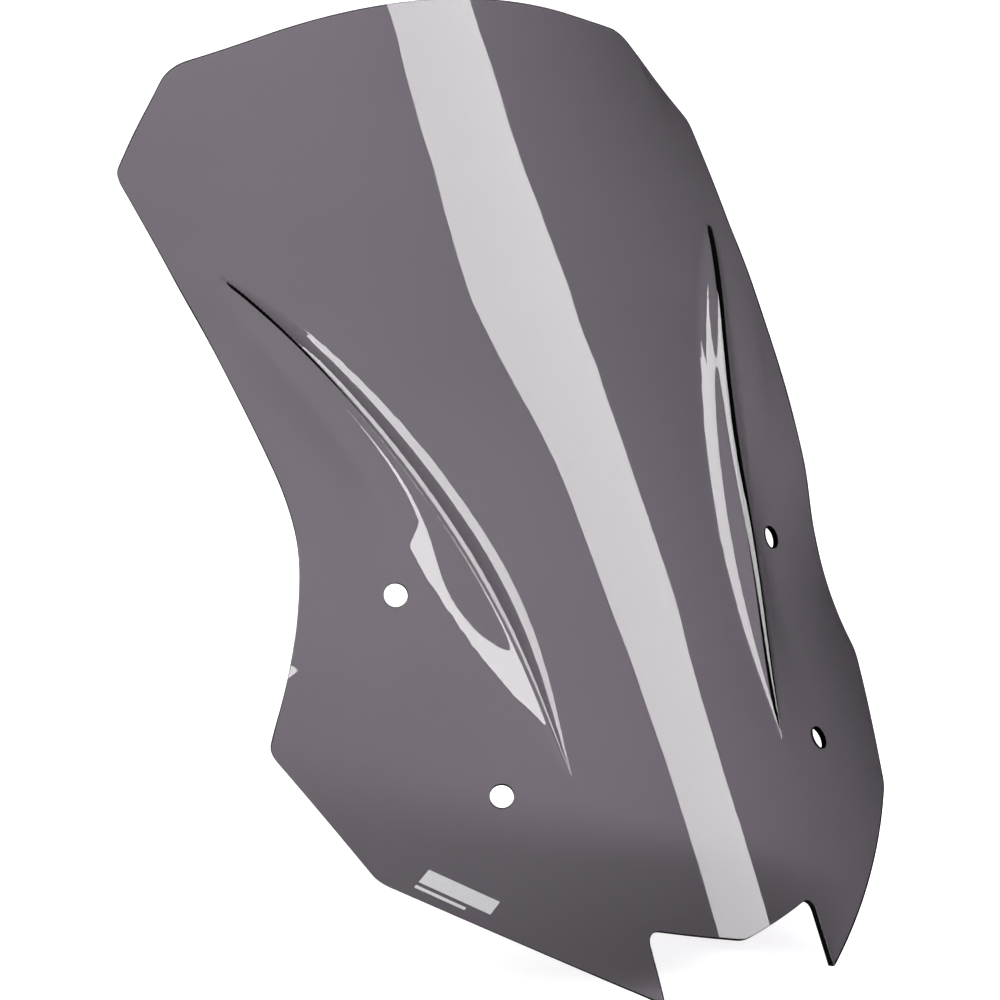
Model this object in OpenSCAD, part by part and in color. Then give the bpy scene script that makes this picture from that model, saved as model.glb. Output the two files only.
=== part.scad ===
// Motorcycle windshield screen: one sheet of smoked acrylic, thermoformed to a
// raked, bellied shell with two flared lower wings and a crescent shaped
// stiffening ridge on each side. Four plain round holes fasten it to a stay.
//
// Frame: millimetres, +X to one side, +Y back towards the rider, +Z up.
// Origin: middle of the four mounting holes, on the front face datum.
// The sheet leans back as it would when fitted to the motorcycle.

/* [Sheet] */
// thickness of the acrylic sheet
sheet_thickness = 3; // [2.5:0.25:4]
// how much of the body colour shows through the smoke tint
tint_strength = 0.62; // [0.3:0.02:1]

/* [Mounting holes] */
// diameter of the four plain holes
hole_diameter = 11; // [7:0.5:13]
// distance between the two upper holes
upper_hole_spacing = 214; // [208:1:224]
// distance between the two lower holes
lower_hole_spacing = 180; // [170:1:190]
// height between the lower pair and the upper pair
hole_row_height = 83; // [76:1:88]

/* [Outline] */
// width across the upper side corners
upper_width = 331.6; // [322:0.2:340]
// width across the lower side corners
lower_width = 337.4; // [328:0.2:342]
// radius of the hollow in each side between the corners
waist_radius = 199; // [150:1:210]
// width of the notch between the two lower horns
notch_width = 93.6; // [80:0.4:104]

/* [Form] */
// backward lean of the sheet, as run over rise
lean = 0.618; // [0.5:0.002:0.75]
// extra backward step of the screen at mid height
mid_step = 8.6; // [0:0.2:16]
// how far each crescent ridge stands proud
ridge_height = 10.8; // [6:0.2:12]

/* [Maker mark] */
// height of the plain silver bar printed at the lower left
mark_height = 7; // [5:1:9]
// length of the plain silver bar
mark_length = 26; // [18:1:30]

/* [Build] */
// which sub-part to draw

/* [Hidden] */

film_thickness = 0.25;
upper_hole_x = upper_hole_spacing / 2;
lower_hole_x = lower_hole_spacing / 2;
hole_z = hole_row_height / 2;

// foot and head of the crescent ridges, and the widths of their two flanks
ridge_foot = -38;
ridge_head = 178;
ridge_span = ridge_head - ridge_foot;
ridge_middle = (ridge_head + ridge_foot) / 2;
inner_flank = 18.4;
outer_flank = 17;
crest_half_width = 1.7;
fold_round = 0.6;

// ---- helpers ----

function clamp01(v) = min(1, max(0, v));

// smooth 0 to 1 blend between a and b
function ease(a, b, v) =
    let (t = clamp01((v - a) / (b - a)))
    t * t * (3 - 2 * t);

function bell(centre, width, v) = exp(-pow((v - centre) / width, 2));

// zero below the bend, then a straight line of slope one
function bend(v, width) = (v + sqrt(v * v + width * width)) / 2;

function unit(v) = v / norm(v);

// ---- the formed surface: depth y as a function of x and z ----

// side profile on the centre line: raked, hollow at the foot, easing at the top
function profile(z) =
    -32.8 + lean * z + 2.3 * pow(z / 100, 2)
    + mid_step / (1 + exp(-(z - 138) / 23))
    - 0.00064 * pow(max(0, z - 200), 2);

// lateral curvature: tight at the foot, flattest at half height
function curvature(z) =
    0.00643 - 0.0007 * ease(-20, 35, z) - 0.0017 * ease(74, 168, z) + 0.00063 * ease(180, 290, z);

// how strongly the sides curl back near the top, where the middle is almost flat
function side_curl(z) = 0.000000012 * ease(150, 280, z);

// sideways position of the middle of each ridge crest
function crest(z) =
    let (v = min(z, ridge_head) - 70)
    82.2 + 0.3325 * v + 0.00146 * v * v + 0.0000036 * v * v * v;

// how far the wings outside the ridges sit behind the middle of the screen
function wing_step(z) =
    9.8 * bell(32, 43, z) - 9.2 * bell(113, 45, z) + 13.2 * ease(220, 290, z);

// flattening of the wings at the waist
function wing_lift(z) = 0.43 * bell(76, 46, z);

// 0 at both tips of the crescent, 1 half way along it, with a chosen bluntness
// for the lower and the upper tip
function taper(z, low, high) =
    let (t = clamp01((z - ridge_foot) / ridge_span))
    pow(4 * t * (1 - t), z < ridge_middle ? low : high);

// cross-section of the ridge at distance from the middle of its crest: a crease at
// the foot, a bulging inside flank, a narrow rounded crest, a sharp fold and a
// steeper outside flank that eases towards the wing
function ridge(distance, z) =
    let (
        d = distance - crest_half_width * taper(z, 0.5, 0.5),
        size = taper(z, 1.2, 0.5),
        steepness = 0.86 + 0.14 * ease(-20, 70, z) - 0.12 * ease(140, ridge_head, z),
        h = ridge_height * size * steepness,
        bulge = 0.29 * taper(z, 0.3, 0.4),
        u = max(0, 1 + d / (inner_flank * size)),
        inside = h * ((1 - bulge) * u + bulge * ease(0.28, 0.86, u)),
        v = min(1, d / (outer_flank * taper(z, 0.9, 0.42))),
        outside = h * (1 - 1.55 * v + 0.55 * v * abs(v)),
        gap = inside - outside,
        rounding = fold_round * taper(z, 0.5, 0.5)
    )
    max(0, (inside + outside - sqrt(gap * gap + rounding * rounding)) / 2);

function has_ridge(z) = z > ridge_foot + 0.01 && z < ridge_head - 0.01;

function depth(x, z) =
    let (d = abs(x) - crest(z))
    profile(z)
    + curvature(z) * x * x / 2
    + side_curl(z) * pow(x, 4)
    + wing_step(z) * ease(0, 36, d)
    - wing_lift(z) * bend(d - 25, 10)
    - (has_ridge(z) ? ridge(d, z) : 0);

function on_face(x, z) = [x, depth(x, z), z];

// unit normal pointing to the back of the sheet
function back_normal(x, z) =
    let (
        sx = (depth(x + 0.5, z) - depth(x - 0.5, z)),
        sz = (depth(x, z + 0.5) - depth(x, z - 0.5))
    )
    unit([-sx, 1, -sz]);

function behind(x, z, t) = on_face(x, z) + t * back_normal(x, z);

// ---- the outline in front view ----

// one corner of a path turned into an arc of radius r with n steps
function arc(a, b, c, r, n) =
    let (
        u = unit(a - b),
        v = unit(c - b),
        half = acos(u * v) / 2,
        mid = b + unit(u + v) * r / sin(half),
        from = b + u * r / tan(half) - mid,
        to = b + v * r / tan(half) - mid,
        start = atan2(from[1], from[0]),
        turn = atan2(to[1], to[0]) - start,
        sweep = turn > 180 ? turn - 360 : turn < -180 ? turn + 360 : turn
    )
    [for (i = [0 : n]) mid + r * [cos(start + sweep * i / n), sin(start + sweep * i / n)]];

// corner, arc radius and arc steps, from the top centre down the +X side
half_corners = [
    [[0, 309.3], 300, 24],
    [[130.3, 269.1], 28, 6],
    [[upper_width / 2, 221.6], 9, 4],
    [[138.7, 40.5], waist_radius, 12],
    [[lower_width / 2, -26.8], 9, 4],
    [[144.6, -78.1], 10, 4],
    [[notch_width / 2 + 0.4, -129], 1.2, 3],
    [[notch_width / 2 - 0.4, -98.3], 5, 4],
    [[0, -108.1], 14, 5]
];

corners = concat(
    half_corners,
    [for (i = [len(half_corners) - 2 : -1 : 1])
        let (c = half_corners[i])
        [[-c[0][0], c[0][1]], c[1], c[2]]]
);

outline = [
    for (i = [0 : len(corners) - 1])
        let (
            n = len(corners),
            a = corners[(i + n - 1) % n],
            b = corners[i],
            c = corners[(i + 1) % n]
        )
        each arc(a[0], b[0], c[0], b[1], b[2])
];

// ---- the formed sheet as a grid that follows the ridge crests ----

rows = [for (i = [0 : 54]) -136 + 8 * i];
side_margin = 176;

// sideways stations of one row: middle, inside flank, crest, outside flank, wing
function half_row(z) =
    let (c = crest(z))
    concat(
        [for (i = [1 : 4]) (c - 18) * i / 4],
        [for (d = [-15.5, -13, -10, -7, -4, -1.5, 0.5, 1.7, 2.5, 5, 9, 13, 17, 20, 25]) c + d],
        [for (i = [1 : 3]) c + 25 + (side_margin - c - 25) * i / 3]
    );

function full_row(z) =
    let (h = half_row(z), n = len(h))
    concat([for (i = [n - 1 : -1 : 0]) -h[i]], [0], h);

module shell(station, levels, front, back) {
    // station: sideways positions for each level; front and back: offsets from the face
    m = len(station[0]);
    n = len(levels);
    faces_front = [
        for (j = [0 : n - 2])
            for (i = [0 : m - 2])
                let (a = j * m + i, b = a + 1, c = a + m, d = c + 1)
                each (i < (m - 1) / 2 ? [[a, d, b], [a, c, d]] : [[a, c, b], [b, c, d]])
    ];
    faces_back = [for (t = faces_front) [t[0] + m * n, t[2] + m * n, t[1] + m * n]];
    rim = concat(
        [for (i = [0 : m - 1]) i],
        [for (j = [1 : n - 1]) j * m + m - 1],
        [for (i = [m - 2 : -1 : 0]) (n - 1) * m + i],
        [for (j = [n - 2 : -1 : 1]) j * m]
    );
    faces_rim = [
        for (k = [0 : len(rim) - 1])
            let (a = rim[k], b = rim[(k + 1) % len(rim)])
            each [[a, b, a + m * n], [b, b + m * n, a + m * n]]
    ];
    polyhedron(
        points = concat(
            [for (j = [0 : n - 1]) for (x = station[j]) behind(x, levels[j], front)],
            [for (j = [0 : n - 1]) for (x = station[j]) behind(x, levels[j], back)]
        ),
        faces = concat(faces_front, faces_back, faces_rim)
    );
}

// a tool along the local normal at one hole
module at_hole(x, z) {
    n = back_normal(x, z);
    translate(on_face(x, z))
        rotate([0, acos(n[2]), atan2(n[1], n[0])])
            children();
}

module bore(x, z) {
    at_hole(x, z)
        translate([0, 0, -6])
            cylinder(d = hole_diameter, h = sheet_thickness + 12, $fn = 48);
}

module panel() {
    color([0.22, 0.20, 0.22], tint_strength)
    difference() {
        intersection() {
            shell([for (z = rows) full_row(z)], rows, 0, sheet_thickness);
            translate([0, 300, 0])
                rotate([90, 0, 0])
                    linear_extrude(height = 600)
                        polygon(outline);
        }
        bore(-upper_hole_x, hole_z);
        bore(upper_hole_x, hole_z);
        bore(-lower_hole_x, -hole_z);
        bore(lower_hole_x, -hole_z);
    }
}

// ---- plain printed mark at the lower left, slanted to follow the edge ----

mark_corner = [-132.5, -79.5];
mark_along = [0.87, -0.49];

module mark_strip(low, high, from, to) {
    // grid of points measured along and across the slanted base line
    across = [-mark_along[1], mark_along[0]];
    n = 6;
    flat = [for (t = [0, 1]) for (i = [0 : n])
        let (s = from + (to - from) * i / n, h = t == 0 ? low : high)
        mark_corner + mark_along * (s + 0.25 * h) + across * h];
    m = n + 1;
    front = [for (p = flat) behind(p[0], p[1], -film_thickness)];
    back = [for (p = flat) behind(p[0], p[1], 0)];
    top_faces = [for (i = [0 : n - 1]) each [[i, i + m + 1, i + 1], [i, i + m, i + m + 1]]];
    rim = concat([for (i = [0 : n]) i], [for (i = [n : -1 : 0]) i + m]);
    polyhedron(
        points = concat(front, back),
        faces = concat(
            top_faces,
            [for (t = top_faces) [t[0] + 2 * m, t[2] + 2 * m, t[1] + 2 * m]],
            [for (k = [0 : len(rim) - 1])
                let (a = rim[k], b = rim[(k + 1) % len(rim)])
                each [[a, b, a + 2 * m], [b, b + 2 * m, a + 2 * m]]]
        )
    );
}

module mark_bar() {
    color([0.72, 0.72, 0.74])
        mark_strip(3, 3 + mark_height, 0, mark_length);
}

module mark_line() {
    color([0.72, 0.72, 0.74])
        mark_strip(0, 1.4, 0, mark_length - 8);
}

panel();
mark_bar();
mark_line();
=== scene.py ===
"""Motorcycle windshield screen: a thermoformed smoked acrylic sheet with a small plain silver print.

All shapes are computed in millimetres in the frame of the CAD part (+X to one side, +Y back towards
the rider, +Z up, origin in the middle of the four mounting holes) and stored in metres.
"""

import bpy
import numpy as np
from mathutils import Matrix, Vector
from mathutils.geometry import delaunay_2d_cdt


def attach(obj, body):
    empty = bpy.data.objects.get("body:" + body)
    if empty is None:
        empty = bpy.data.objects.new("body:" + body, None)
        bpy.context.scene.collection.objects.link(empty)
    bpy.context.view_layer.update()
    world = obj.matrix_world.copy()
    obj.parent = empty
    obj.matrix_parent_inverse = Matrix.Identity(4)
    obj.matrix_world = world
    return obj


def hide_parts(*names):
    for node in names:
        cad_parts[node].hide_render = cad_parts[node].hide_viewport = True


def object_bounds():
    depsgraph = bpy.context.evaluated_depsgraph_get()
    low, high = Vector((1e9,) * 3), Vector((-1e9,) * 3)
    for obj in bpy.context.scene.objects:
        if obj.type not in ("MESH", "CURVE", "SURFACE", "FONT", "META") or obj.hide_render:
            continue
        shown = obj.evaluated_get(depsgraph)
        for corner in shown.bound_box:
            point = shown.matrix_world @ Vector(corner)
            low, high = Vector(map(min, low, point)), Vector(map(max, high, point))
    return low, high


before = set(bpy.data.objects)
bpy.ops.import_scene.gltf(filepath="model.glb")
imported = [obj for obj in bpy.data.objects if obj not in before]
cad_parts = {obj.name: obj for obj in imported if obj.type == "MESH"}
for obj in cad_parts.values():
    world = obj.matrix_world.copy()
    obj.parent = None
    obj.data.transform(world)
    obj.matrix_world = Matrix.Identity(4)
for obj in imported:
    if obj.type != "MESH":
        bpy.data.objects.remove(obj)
cad_low, cad_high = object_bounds()

MM = 0.001
SCENE = bpy.context.scene

# ---------------------------------------------------------------- camera

CAMERA_AT = Vector((-1.1594, -1.6760, 0.5389))
CAMERA_LOOKS = Vector((0.5314, 0.8180, -0.2202))

camera_data = bpy.data.cameras.new("camera")
camera_data.sensor_width = 36
camera_data.lens = 162
camera_data.clip_end = 200
camera = bpy.data.objects.new("camera", camera_data)
camera.location = CAMERA_AT
camera.rotation_euler = CAMERA_LOOKS.to_track_quat("-Z", "Y").to_euler()
SCENE.collection.objects.link(camera)
SCENE.camera = camera

# ---------------------------------------------------------------- form of the sheet

THICKNESS = 3.0
HOLE_RADIUS = 5.5
HOLES = [(-107, 41.5), (107, 41.5), (-90, -41.5), (90, -41.5)]
# centre profile: depth at the origin, lean, sweep, the step half way up and the forward bend of the top
CENTRE_DEPTH, LEAN, SWEEP = -32.8, 0.618, 2.3
MID_STEP, STEP_HEIGHT, STEP_SPREAD = 8.6, 138, 23
TOP_START, TOP_BEND = 200, 0.00064
RIDGE_HEIGHT, INNER_FLANK, OUTER_FLANK = 10.8, 18.4, 17.0
CREST_HALF_WIDTH, FOLD_ROUND = 1.7, 0.6
RIDGE_FOOT, RIDGE_HEAD = -38.0, 178.0
RIDGE_MIDDLE = (RIDGE_FOOT + RIDGE_HEAD) / 2


def ease(a, b, v):
    """0 below a, 1 above b, and a smooth rise between them."""
    t = np.clip((v - a) / (b - a), 0, 1)
    return t * t * (3 - 2 * t)


def bell(centre, width, v):
    """A smooth hump of height 1."""
    return np.exp(-(((v - centre) / width) ** 2))


def profile(z):
    """Depth of the front face on the centre plane."""
    step = MID_STEP / (1 + np.exp(-(z - STEP_HEIGHT) / STEP_SPREAD))
    top = TOP_BEND * np.maximum(0, z - TOP_START) ** 2
    return CENTRE_DEPTH + LEAN * z + SWEEP * (z / 100) ** 2 + step - top


def curvature(z):
    """Sideways curvature of the shell, 1/mm."""
    return 0.00643 - 0.0007 * ease(-20, 35, z) - 0.0017 * ease(74, 168, z) + 0.00063 * ease(180, 290, z)


def side_curl(z):
    """Factor of the fourth power of x, which curls the sides back near the top."""
    return 1.2e-8 * ease(150, 280, z)


def crest(z):
    """Distance of the middle of the ridge's crest from the centre plane."""
    v = np.minimum(z, RIDGE_HEAD) - 70
    return 82.2 + 0.3325 * v + 0.00146 * v**2 + 3.6e-6 * v**3


def wing_step(z):
    """How far the wing steps back outside the crest, or forward where it is negative."""
    return 9.8 * bell(32, 43, z) - 9.2 * bell(113, 45, z) + 13.2 * ease(220, 290, z)


def wing_lift(z):
    """Slope of the wing towards the front, mm per mm."""
    return 0.43 * bell(76, 46, z)


def taper(z, low, high):
    """1 in the middle of the ridge and 0 at its tips, with a power for the lower and the upper half."""
    t = np.clip((z - RIDGE_FOOT) / (RIDGE_HEAD - RIDGE_FOOT), 1e-4, 1 - 1e-4)
    return (4 * t * (1 - t)) ** np.where(z < RIDGE_MIDDLE, low, high)


def ridge(distance, z):
    """How far the crescent ridge stands proud at a distance outside the middle of its crest."""
    d = distance - CREST_HALF_WIDTH * taper(z, 0.5, 0.5)
    size = taper(z, 1.2, 0.5)
    steepness = 0.86 + 0.14 * ease(-20, 70, z) - 0.12 * ease(140, RIDGE_HEAD, z)
    h = RIDGE_HEIGHT * size * steepness
    bulge = 0.29 * taper(z, 0.3, 0.4)
    u = np.maximum(0, 1 + d / (INNER_FLANK * size))
    inside = h * ((1 - bulge) * u + bulge * ease(0.28, 0.86, u))
    v = np.minimum(1, d / (OUTER_FLANK * taper(z, 0.9, 0.42)))
    outside = h * (1 - 1.55 * v + 0.55 * v * np.abs(v))
    gap = inside - outside
    rounding = FOLD_ROUND * taper(z, 0.5, 0.5)
    proud = np.maximum(0, (inside + outside - np.sqrt(gap * gap + rounding * rounding)) / 2)
    return np.where((z > RIDGE_FOOT + 0.01) & (z < RIDGE_HEAD - 0.01), proud, 0)


def depth(x, z):
    """Position along Y of the front face."""
    d = np.abs(x) - crest(z)
    bend = (d - 25 + np.sqrt((d - 25) ** 2 + 100)) / 2
    return (
        profile(z)
        + curvature(z) * x * x / 2
        + side_curl(z) * x**4
        + wing_step(z) * ease(0, 36, d)
        - wing_lift(z) * bend
        - ridge(d, z)
    )


def back_normal(x, z, reach):
    """Unit normals towards the back of the sheet, from differences over +-reach mm."""
    slope_x = (depth(x + reach, z) - depth(x - reach, z)) / (2 * reach)
    slope_z = (depth(x, z + reach) - depth(x, z - reach)) / (2 * reach)
    n = np.stack([-slope_x, np.ones_like(slope_x), -slope_z], -1)
    return n / np.linalg.norm(n, axis=-1, keepdims=True)


def on_face(x, z):
    return np.stack([x, depth(x, z), z], -1)


# ---------------------------------------------------------------- outline in front view

OUTLINE_GAP, ARC_GAP = 1.6, 1.5
# corner and arc radius, from the top centre down the +X side
HALF_CORNERS = [
    ((0, 309.3), 300),
    ((130.3, 269.1), 28),
    ((165.8, 221.6), 9),
    ((138.7, 40.5), 199),
    ((168.7, -26.8), 9),
    ((144.6, -78.1), 10),
    ((47.2, -129), 1.2),
    ((46.4, -98.3), 5),
    ((0, -108.1), 14),
]


def arc(a, b, c, radius):
    """Corner b between a and c turned into an arc, as closely spaced points."""
    a, b, c = (np.array(p, float) for p in (a, b, c))
    u = (a - b) / np.linalg.norm(a - b)
    v = (c - b) / np.linalg.norm(c - b)
    half = np.arccos(np.clip(u @ v, -1, 1)) / 2
    middle = b + (u + v) / np.linalg.norm(u + v) * radius / np.sin(half)
    start = b + u * radius / np.tan(half) - middle
    end = b + v * radius / np.tan(half) - middle
    first = np.arctan2(start[1], start[0])
    sweep = (np.arctan2(end[1], end[0]) - first + np.pi) % (2 * np.pi) - np.pi
    n = max(6, int(abs(sweep) * radius / ARC_GAP))
    angle = first + sweep * np.arange(n + 1) / n
    return middle + radius * np.stack([np.cos(angle), np.sin(angle)], -1)


def outline_points(spacing):
    corners = HALF_CORNERS + [((-p[0], p[1]), r) for p, r in HALF_CORNERS[-2:0:-1]]
    n = len(corners)
    arcs = [arc(corners[i - 1][0], corners[i][0], corners[(i + 1) % n][0], corners[i][1]) for i in range(n)]
    points = []
    for i in range(n):
        points.append(arcs[i])
        a, b = arcs[i][-1], arcs[(i + 1) % n][0]
        steps = int(np.linalg.norm(b - a) / spacing)
        if steps > 1:
            points.append(a + (b - a) * (np.arange(1, steps) / steps)[:, None])
    path = np.concatenate(points)
    gap = np.linalg.norm(path - np.roll(path, 1, 0), axis=1)
    return path[gap > 1e-3]


def inward(path):
    """Unit normals to the inside of a closed path that runs clockwise in (x, z)."""
    along = np.roll(path, -1, 0) - np.roll(path, 1, 0)
    n = np.stack([along[:, 1], -along[:, 0]], -1)
    return n / np.linalg.norm(n, axis=1, keepdims=True)


# ---------------------------------------------------------------- panel mesh

EDGE_ROUND = 0.35
HOLE_EDGE_ROUND = 0.15
# angle round the rounded edge, from the front face to the back face
EDGE_ANGLES = np.radians([0, 22, 45, 68, 90, 90, 112, 135, 158, 180])
INWARD_STEP = 0.2
# how far to each side the differences behind a normal are taken: at a hole, for the back face, for shading
HOLE_REACH, BACK_REACH, SHADING_REACH = 0.5, 3.0, 0.35

HOLE_SEGMENTS = 72
OUTLINE_CLEARANCE, HOLE_CLEARANCE = 1.1, 1.2
# rows of mesh points: from, to, gap, closest over the ridges
ROW_STRETCHES = [(-128, -40, 2.6), (-40, 182, 1.3), (182, 300, 2.6)]
# points of a row over the ridge, as distances outside the middle of its crest: from, to, gap
RIDGE_STRETCHES = [(-18.5, -2.5, 0.9), (-2.1, 4.2, 0.42), (4.8, 24, 1.0)]
# the rest of a row: from the centre plane to the ridge, and from the ridge past the edge of the wing
MIDDLE_END, MIDDLE_POINTS = -20, 22
WING_START, WING_END, WING_GAP = 26, 178, 3.6


def ring_offsets(radius):
    """Inset from the trimmed edge and depth behind the face, for each ring of the edge."""
    inset = radius * (1 - np.sin(EDGE_ANGLES))
    front = radius * (1 - np.cos(EDGE_ANGLES))
    back = THICKNESS - radius * (1 + np.cos(EDGE_ANGLES))
    half = len(EDGE_ANGLES) // 2
    return inset, np.where(np.arange(len(EDGE_ANGLES)) < half, front, back)


def edge_rings(base, to_inside, normals, radius):
    """Rings of points round a trimmed edge. base, to_inside: (x, z); normals: one for each point."""
    rings, ring_normals = [], []
    inset, deep = ring_offsets(radius)
    for i, d, angle in zip(inset, deep, EDGE_ANGLES):
        p = base + to_inside * i
        point = on_face(p[:, 0], p[:, 1]) + normals * d
        q = base + to_inside * (i + INWARD_STEP)
        inner = on_face(q[:, 0], q[:, 1]) - on_face(p[:, 0], p[:, 1])
        inner -= normals * np.sum(inner * normals, axis=1, keepdims=True)
        inner /= np.linalg.norm(inner, axis=1, keepdims=True)
        rings.append(point)
        ring_normals.append(-normals * np.cos(angle) - inner * np.sin(angle))
    return rings, ring_normals


def inside_path(x, z, path):
    """Even-odd test of points against a closed path."""
    result = np.zeros(len(x), bool)
    for a, b in zip(path, np.roll(path, -1, 0)):
        if a[1] == b[1]:
            continue
        crosses = (z < a[1]) != (z < b[1])
        result ^= crosses & (x < a[0] + (z - a[1]) * (b[0] - a[0]) / (b[1] - a[1]))
    return result


def far_from(x, z, path, limit):
    """Which points keep more than the limit away from every point of a path."""
    keep = np.ones(len(x), bool)
    for p in path:
        keep &= (x - p[0]) ** 2 + (z - p[1]) ** 2 > limit * limit
    return keep


def half_stations(z):
    """Sideways stations of one row: dense over the ridge, open elsewhere."""
    c = crest(z)
    middle = np.linspace(0, c + MIDDLE_END, MIDDLE_POINTS + 1)[1:]
    over_ridge = [c + np.arange(*stretch) for stretch in RIDGE_STRETCHES]
    wing_points = max(3, int((WING_END - c - WING_START) / WING_GAP))
    wing = np.linspace(c + WING_START, WING_END, wing_points)
    return np.concatenate([middle, *over_ridge, wing])


def hole_loop(hole_x, hole_z):
    """Rim of a hole bored square to the face: its path, directions into the sheet, axis and edge radius."""
    axis = back_normal(np.array([float(hole_x)]), np.array([float(hole_z)]), HOLE_REACH)[0]
    a = np.cross(axis, [0, 0, 1.0])
    a /= np.linalg.norm(a)
    b = np.cross(axis, a)
    angle = np.linspace(0, 2 * np.pi, HOLE_SEGMENTS + 1)[:-1]
    circle = HOLE_RADIUS * (np.cos(angle)[:, None] * a + np.sin(angle)[:, None] * b)
    rim = circle[:, [0, 2]]
    return np.array([hole_x, hole_z]) + rim, rim / HOLE_RADIUS, axis, HOLE_EDGE_ROUND


def face_points(boundary):
    """Points (x, z) inside the outline that keep clear of every edge."""
    xs, zs = [], []
    for z in np.concatenate([np.arange(*stretch) for stretch in ROW_STRETCHES]):
        half = half_stations(z)
        row = np.concatenate([-half[::-1], [0.0], half])
        xs.append(row)
        zs.append(np.full(len(row), z))
    x, z = np.concatenate(xs), np.concatenate(zs)
    keep = inside_path(x, z, boundary[0]) & far_from(x, z, boundary[0], OUTLINE_CLEARANCE)
    for loop in boundary[1:]:
        centre = loop.mean(0)
        keep &= (x - centre[0]) ** 2 + (z - centre[1]) ** 2 > (HOLE_RADIUS + HOLE_CLEARANCE) ** 2
    return np.stack([x[keep], z[keep]], -1)


def triangulate(boundary, flat):
    """Triangles between all the points in flat, which starts with the closed boundary paths."""
    edges, start = [], 0
    for loop in boundary:
        n = len(loop)
        edges += [(start + i, start + (i + 1) % n) for i in range(n)]
        start += n
    out = delaunay_2d_cdt([Vector(p) for p in flat], edges, [], 0, 1e-4, True)
    if len(out[0]) != len(flat):
        raise ValueError("the triangulation added or dropped points")
    order = [o[0] for o in out[3]]
    triangles = np.array([[order[i] for i in f] for f in out[2]])
    middle = flat[triangles].mean(1)
    keep = inside_path(middle[:, 0], middle[:, 1], boundary[0])
    for loop in boundary[1:]:
        keep &= ~inside_path(middle[:, 0], middle[:, 1], loop)
    triangles = triangles[keep]
    a, b, c = (flat[triangles[:, i]] for i in range(3))
    turn = (b[:, 0] - a[:, 0]) * (c[:, 1] - a[:, 1]) - (b[:, 1] - a[:, 1]) * (c[:, 0] - a[:, 0])
    triangles[turn < 0] = triangles[turn < 0][:, ::-1]
    return triangles


def build_panel():
    outline = outline_points(OUTLINE_GAP)
    loops = [(outline, inward(outline), None, EDGE_ROUND)]
    loops += [hole_loop(x, z) for x, z in HOLES]
    ring_sets = []
    for base, to_inside, axis, radius in loops:
        if axis is None:
            normals = back_normal(base[:, 0], base[:, 1], BACK_REACH)
        else:
            normals = np.repeat(axis[None], len(base), 0)
        ring_sets.append(edge_rings(base, to_inside, normals, radius))

    boundary = [base + to_inside * radius for base, to_inside, _, radius in loops]
    inner = face_points(boundary)
    flat = np.concatenate(boundary + [inner])
    triangles = triangulate(boundary, flat)

    # the points of all the edge rings come first, then the front face, then the back face
    count = sum(len(loop) for loop in boundary)
    inner_normals = back_normal(inner[:, 0], inner[:, 1], BACK_REACH)
    inner_front = on_face(inner[:, 0], inner[:, 1])
    inner_back = inner_front + THICKNESS * inner_normals
    rings = len(EDGE_ANGLES)
    points = [np.concatenate([s[0][j] for s in ring_sets]) for j in range(rings)]
    normals = [np.concatenate([s[1][j] for s in ring_sets]) for j in range(rings)]
    fine = -back_normal(flat[:, 0], flat[:, 1], SHADING_REACH)
    normals[0] = fine[:count]
    vertices = np.concatenate(points + [inner_front, inner_back])
    vertex_normals = np.concatenate(normals + [fine[count:], inner_normals])

    first_inner = rings * count
    first_back = first_inner + len(inner)

    def front_index(i):
        return np.where(i < count, i, first_inner + i - count)

    def back_index(i):
        return np.where(i < count, (rings - 1) * count + i, first_back + i - count)

    faces = [tuple(int(v) for v in f) for f in front_index(triangles)]
    faces += [tuple(int(v) for v in f[::-1]) for f in back_index(triangles)]
    start = 0
    for loop in boundary:
        n = len(loop)
        for j in range(rings - 1):
            for i in range(n):
                p, q = start + i, start + (i + 1) % n
                faces.append((j * count + p, j * count + q, (j + 1) * count + q, (j + 1) * count + p))
        start += n

    mesh = bpy.data.meshes.new("screen_panel")
    mesh.from_pydata((vertices * MM).tolist(), [], faces)
    mesh.validate()
    for polygon in mesh.polygons:
        polygon.use_smooth = True
    mesh.normals_split_custom_set_from_vertices(vertex_normals.tolist())
    edge = mesh.attributes.new("trimmed_edge", "FLOAT", "POINT")
    share = np.zeros(len(vertices), np.float32)
    for j in range(rings):
        share[j * count:(j + 1) * count] = np.sin(EDGE_ANGLES[j])
    edge.data.foreach_set("value", share)
    panel = bpy.data.objects.new("screen_panel", mesh)
    SCENE.collection.objects.link(panel)
    return panel


# ---------------------------------------------------------------- materials


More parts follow.
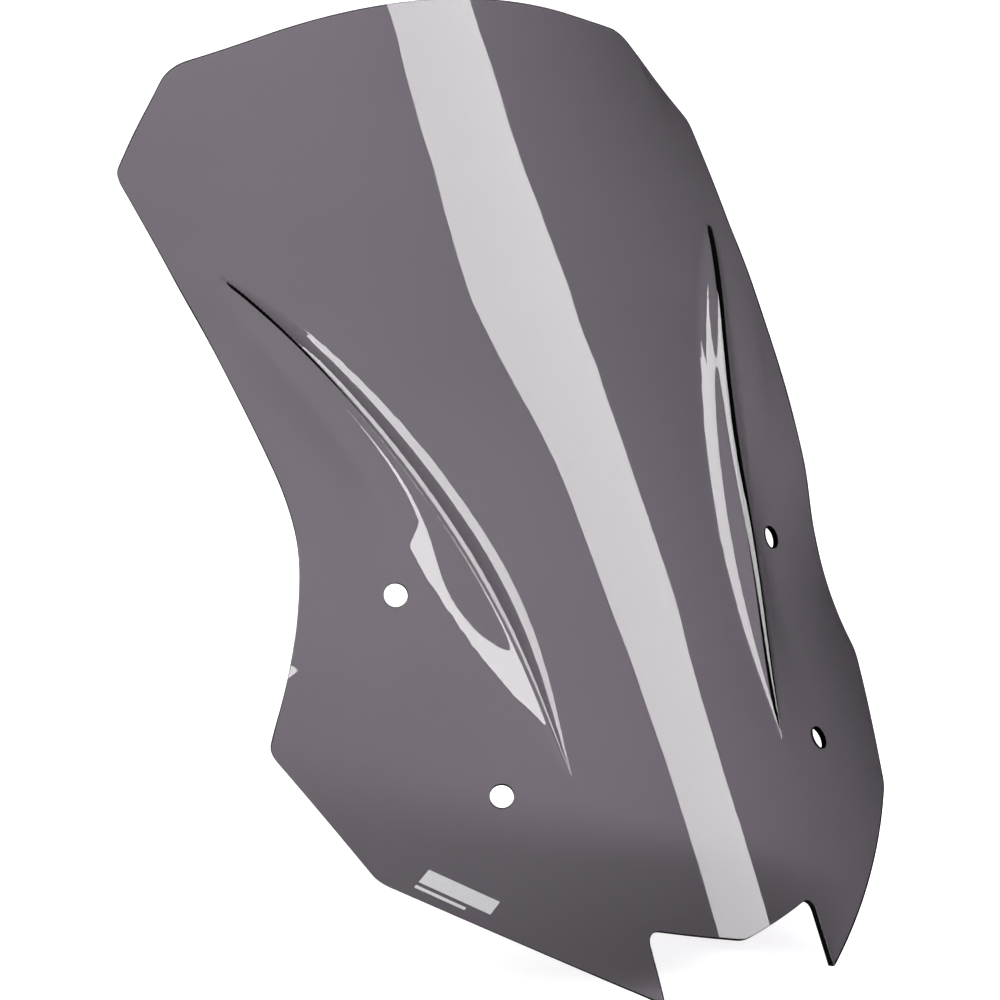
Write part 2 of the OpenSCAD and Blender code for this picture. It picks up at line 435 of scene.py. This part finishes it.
class Tree:
    """Short way to build a node tree."""

    def __init__(self, name):
        self.material = bpy.data.materials.new(name)
        self.material.use_nodes = True
        self.tree = self.material.node_tree
        self.tree.nodes.clear()

    def add(self, kind, **values):
        node = self.tree.nodes.new(kind)
        for key, value in values.items():
            setattr(node, key, value)
        return node

    def link(self, a, b):
        self.tree.links.new(a, b)

    def noise(self, scale, detail=3.0, rough=0.5, stretch=None):
        coordinates = self.add("ShaderNodeTexCoord").outputs["Object"]
        if stretch:
            mapping = self.add("ShaderNodeMapping")
            mapping.inputs["Scale"].default_value = stretch
            self.link(coordinates, mapping.inputs["Vector"])
            coordinates = mapping.outputs["Vector"]
        node = self.add("ShaderNodeTexNoise")
        node.inputs["Scale"].default_value = scale
        node.inputs["Detail"].default_value = detail
        node.inputs["Roughness"].default_value = rough
        self.link(coordinates, node.inputs["Vector"])
        return node.outputs["Fac"]

    def spread(self, value, low, high, new_low, new_high):
        node = self.add("ShaderNodeMapRange")
        for name, number in zip(("From Min", "From Max", "To Min", "To Max"), (low, high, new_low, new_high)):
            node.inputs[name].default_value = number
        self.link(value, node.inputs["Value"])
        return node.outputs["Result"]

    def ramp(self, value, stops):
        node = self.add("ShaderNodeValToRGB")
        elements = node.color_ramp.elements
        while len(elements) < len(stops):
            elements.new(0.5)
        for element, (place, colour) in zip(elements, stops):
            element.position = place
            element.color = (*colour, 1)
        self.link(value, node.inputs["Fac"])
        return node.outputs["Color"]

    def math(self, operation, a, b):
        node = self.add("ShaderNodeMath", operation=operation)
        for socket, value in zip(node.inputs, (a, b)):
            if hasattr(value, "is_linked"):
                self.link(value, socket)
            else:
                socket.default_value = value
        return node.outputs["Value"]

    def bump(self, height, strength, distance):
        node = self.add("ShaderNodeBump")
        node.inputs["Strength"].default_value = strength
        node.inputs["Distance"].default_value = distance
        self.link(height, node.inputs["Height"])
        return node.outputs["Normal"]


def smoked_acrylic():
    t = Tree("smoked_acrylic")
    shader = t.add("ShaderNodeBsdfPrincipled")
    shader.inputs["IOR"].default_value = 1.49
    shader.inputs["Transmission Weight"].default_value = 1.0

    edge = t.add("ShaderNodeAttribute", attribute_name="trimmed_edge").outputs["Fac"]
    position = t.add("ShaderNodeSeparateXYZ")
    t.link(t.add("ShaderNodeTexCoord").outputs["Object"], position.inputs["Vector"])

    # tint with painted light and shade: graded lightest at the top and darker towards the bottom, standing in
    # for how bright the background seen through the sheet is; slightly uneven at random
    height = t.spread(position.outputs["Z"], -0.126, 0.297, 0.0, 1.0)
    cloud = t.spread(t.noise(9.0, 2.0), 0.3, 0.7, -0.035, 0.035)
    # tint stops by height: the rise towards the top is painted light, not a change in the smoke tint
    tint_and_painted_light_stops = [
        (0.0, (0.70, 0.69, 0.70)),
        (0.3, (0.66, 0.65, 0.66)),
        (0.6, (0.78, 0.775, 0.78)),
        (1.0, (0.99, 0.98, 0.99)),
    ]
    t.link(t.ramp(t.math("ADD", height, cloud), tint_and_painted_light_stops), shader.inputs["Base Color"])

    # polished faces with faint wiping haze, sawn and sanded trimmed edge
    haze = t.spread(t.noise(45.0, 5.0, 0.6, (1.0, 1.0, 0.45)), 0.45, 0.75, 0.012, 0.05)
    rough = t.math("ADD", haze, t.math("MULTIPLY", edge, 0.22))
    t.link(rough, shader.inputs["Roughness"])

    # long soft waves left by forming, and fine saw marks on the edge
    waves = t.math("MULTIPLY", t.noise(14.0, 1.0), 0.0005)
    marks = t.math("MULTIPLY", t.math("MULTIPLY", t.noise(1400.0, 2.0), 0.00004), edge)
    t.link(t.bump(t.math("ADD", waves, marks), 1.0, 1.0), shader.inputs["Normal"])

    # nearly clear to shadow rays, so that the sheet casts a pale shadow
    clear = t.add("ShaderNodeBsdfTransparent")
    clear.inputs["Color"].default_value = (0.9, 0.9, 0.9, 1)
    mix = t.add("ShaderNodeMixShader")
    t.link(t.add("ShaderNodeLightPath").outputs["Is Shadow Ray"], mix.inputs[0])
    t.link(shader.outputs["BSDF"], mix.inputs[1])
    t.link(clear.outputs["BSDF"], mix.inputs[2])

    smoke = t.add("ShaderNodeVolumeAbsorption")
    smoke.inputs["Color"].default_value = (0.055, 0.0, 0.065, 1)
    smoke.inputs["Density"].default_value = 672.0
    out = t.add("ShaderNodeOutputMaterial")
    t.link(mix.outputs["Shader"], out.inputs["Surface"])
    t.link(smoke.outputs["Volume"], out.inputs["Volume"])
    return t.material


def silver_print():
    t = Tree("silver_print")
    shader = t.add("ShaderNodeBsdfPrincipled")
    shader.inputs["Metallic"].default_value = 0.35
    shader.inputs["IOR"].default_value = 1.5
    flakes = t.noise(2600.0, 2.0, 0.7)
    wear = t.noise(900.0, 3.0, 0.6)
    value = t.math("ADD", t.math("MULTIPLY", flakes, 0.5), t.math("MULTIPLY", wear, 0.5))
    t.link(
        t.ramp(value, [(0.35, (0.34, 0.34, 0.35)), (0.65, (0.40, 0.40, 0.41))]),
        shader.inputs["Base Color"],
    )
    t.link(t.spread(flakes, 0.3, 0.7, 0.34, 0.5), shader.inputs["Roughness"])
    t.link(t.bump(flakes, 0.25, 0.00003), shader.inputs["Normal"])
    out = t.add("ShaderNodeOutputMaterial")
    t.link(shader.outputs["BSDF"], out.inputs["Surface"])
    return t.material


def pale_floor():
    t = Tree("pale_floor")
    shader = t.add("ShaderNodeBsdfPrincipled")
    shader.inputs["Roughness"].default_value = 0.9
    shader.inputs["Specular IOR Level"].default_value = 0.1
    # gives off a little light of its own, like a light table
    shader.inputs["Emission Color"].default_value = (1, 1, 1, 1)
    shader.inputs["Emission Strength"].default_value = 0.4
    t.link(
        t.ramp(t.noise(3.0, 4.0), [(0.3, (0.93, 0.93, 0.93)), (0.7, (0.95, 0.95, 0.95))]),
        shader.inputs["Base Color"],
    )
    out = t.add("ShaderNodeOutputMaterial")
    t.link(shader.outputs["BSDF"], out.inputs["Surface"])
    return t.material


# ---------------------------------------------------------------- pieces

acrylic = smoked_acrylic()
silver = silver_print()

panel = build_panel()
panel.data.materials.append(acrylic)
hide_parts("panel")
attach(panel, "root")

for name in ("mark_bar", "mark_line"):
    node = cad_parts[name]
    node.data.materials.clear()
    node.data.materials.append(silver)

# ---------------------------------------------------------------- floor

FLOOR_Z = cad_low.z - 0.0004
FLOOR_HALF = 25.0
floor_corners = [(x * FLOOR_HALF, y * FLOOR_HALF, FLOOR_Z) for x, y in ((-1, -1), (1, -1), (1, 1), (-1, 1))]
floor_mesh = bpy.data.meshes.new("floor")
floor_mesh.from_pydata(floor_corners, [], [(0, 1, 2, 3)])
floor_mesh.materials.append(pale_floor())
floor = bpy.data.objects.new("floor", floor_mesh)
SCENE.collection.objects.link(floor)
floor.visible_glossy = False

# ---------------------------------------------------------------- light


def softbox(name, at, faces, along, width, length, radiance):
    """A one-sided softbox: faces points from the object to the box, along runs down its long side."""
    data = bpy.data.lights.new(name, "AREA")
    data.shape = "RECTANGLE"
    data.size = width
    data.size_y = length
    data.energy = radiance * np.pi * width * length
    data.color = (1.0, 0.995, 1.0)
    lamp = bpy.data.objects.new(name, data)
    turn = Matrix((along.cross(faces).normalized(), along, faces)).transposed()
    lamp.matrix_world = Matrix.Translation(at) @ turn.to_4x4()
    lamp.visible_camera = False
    lamp.visible_transmission = False
    SCENE.collection.objects.link(lamp)
    return lamp


LIGHT_DISTANCE = 1.5

# leaned strip in front on the +X side: its reflection is the long bright band down the middle
STRIP_FACES = Vector((0.5533, -0.5030, 0.6640))
STRIP_ACROSS = Vector((0.8329, 0.3341, -0.4411))
STRIP_LEAN = -0.22
STRIP_SHIFT = 0.0255
STRIP_WIDTH, STRIP_LENGTH, STRIP_RADIANCE = 0.546, 1.7, 10.5
strip_long = (STRIP_FACES.cross(STRIP_ACROSS) + STRIP_LEAN * STRIP_ACROSS).normalized()
strip_at = STRIP_FACES * LIGHT_DISTANCE - STRIP_ACROSS * STRIP_SHIFT
softbox("strip", strip_at, STRIP_FACES, strip_long, STRIP_WIDTH, STRIP_LENGTH, STRIP_RADIANCE)

# small low box on the -X side: its reflection is the bright sliver on the outside of the near ridge
SIDE_FACES = Vector((-0.8858, -0.4320, 0.1693)).normalized()
SIDE_WIDTH, SIDE_LENGTH, SIDE_RADIANCE = 0.37, 0.408, 14.0
side_long = (Vector((0, 0, 1)) - SIDE_FACES.z * SIDE_FACES).normalized()
side_at = SIDE_FACES * LIGHT_DISTANCE
softbox("side", side_at, SIDE_FACES, side_long, SIDE_WIDTH, SIDE_LENGTH, SIDE_RADIANCE)

# the surroundings are bright, but dim in reflections, so that only the two softboxes show there
WORLD_STRENGTH, WORLD_STRENGTH_REFLECTED = 1.6, 0.05

world = bpy.data.worlds.new("studio")
SCENE.world = world
world.use_nodes = True
nodes, links = world.node_tree.nodes, world.node_tree.links
nodes.clear()
path_info = nodes.new("ShaderNodeLightPath")
strength = nodes.new("ShaderNodeMapRange")
strength.inputs["To Min"].default_value = WORLD_STRENGTH
strength.inputs["To Max"].default_value = WORLD_STRENGTH_REFLECTED
background = nodes.new("ShaderNodeBackground")
world_out = nodes.new("ShaderNodeOutputWorld")
links.new(path_info.outputs["Is Glossy Ray"], strength.inputs["Value"])
links.new(strength.outputs["Result"], background.inputs["Strength"])
links.new(background.outputs["Background"], world_out.inputs["Surface"])

SCENE.view_settings.view_transform = "Standard"
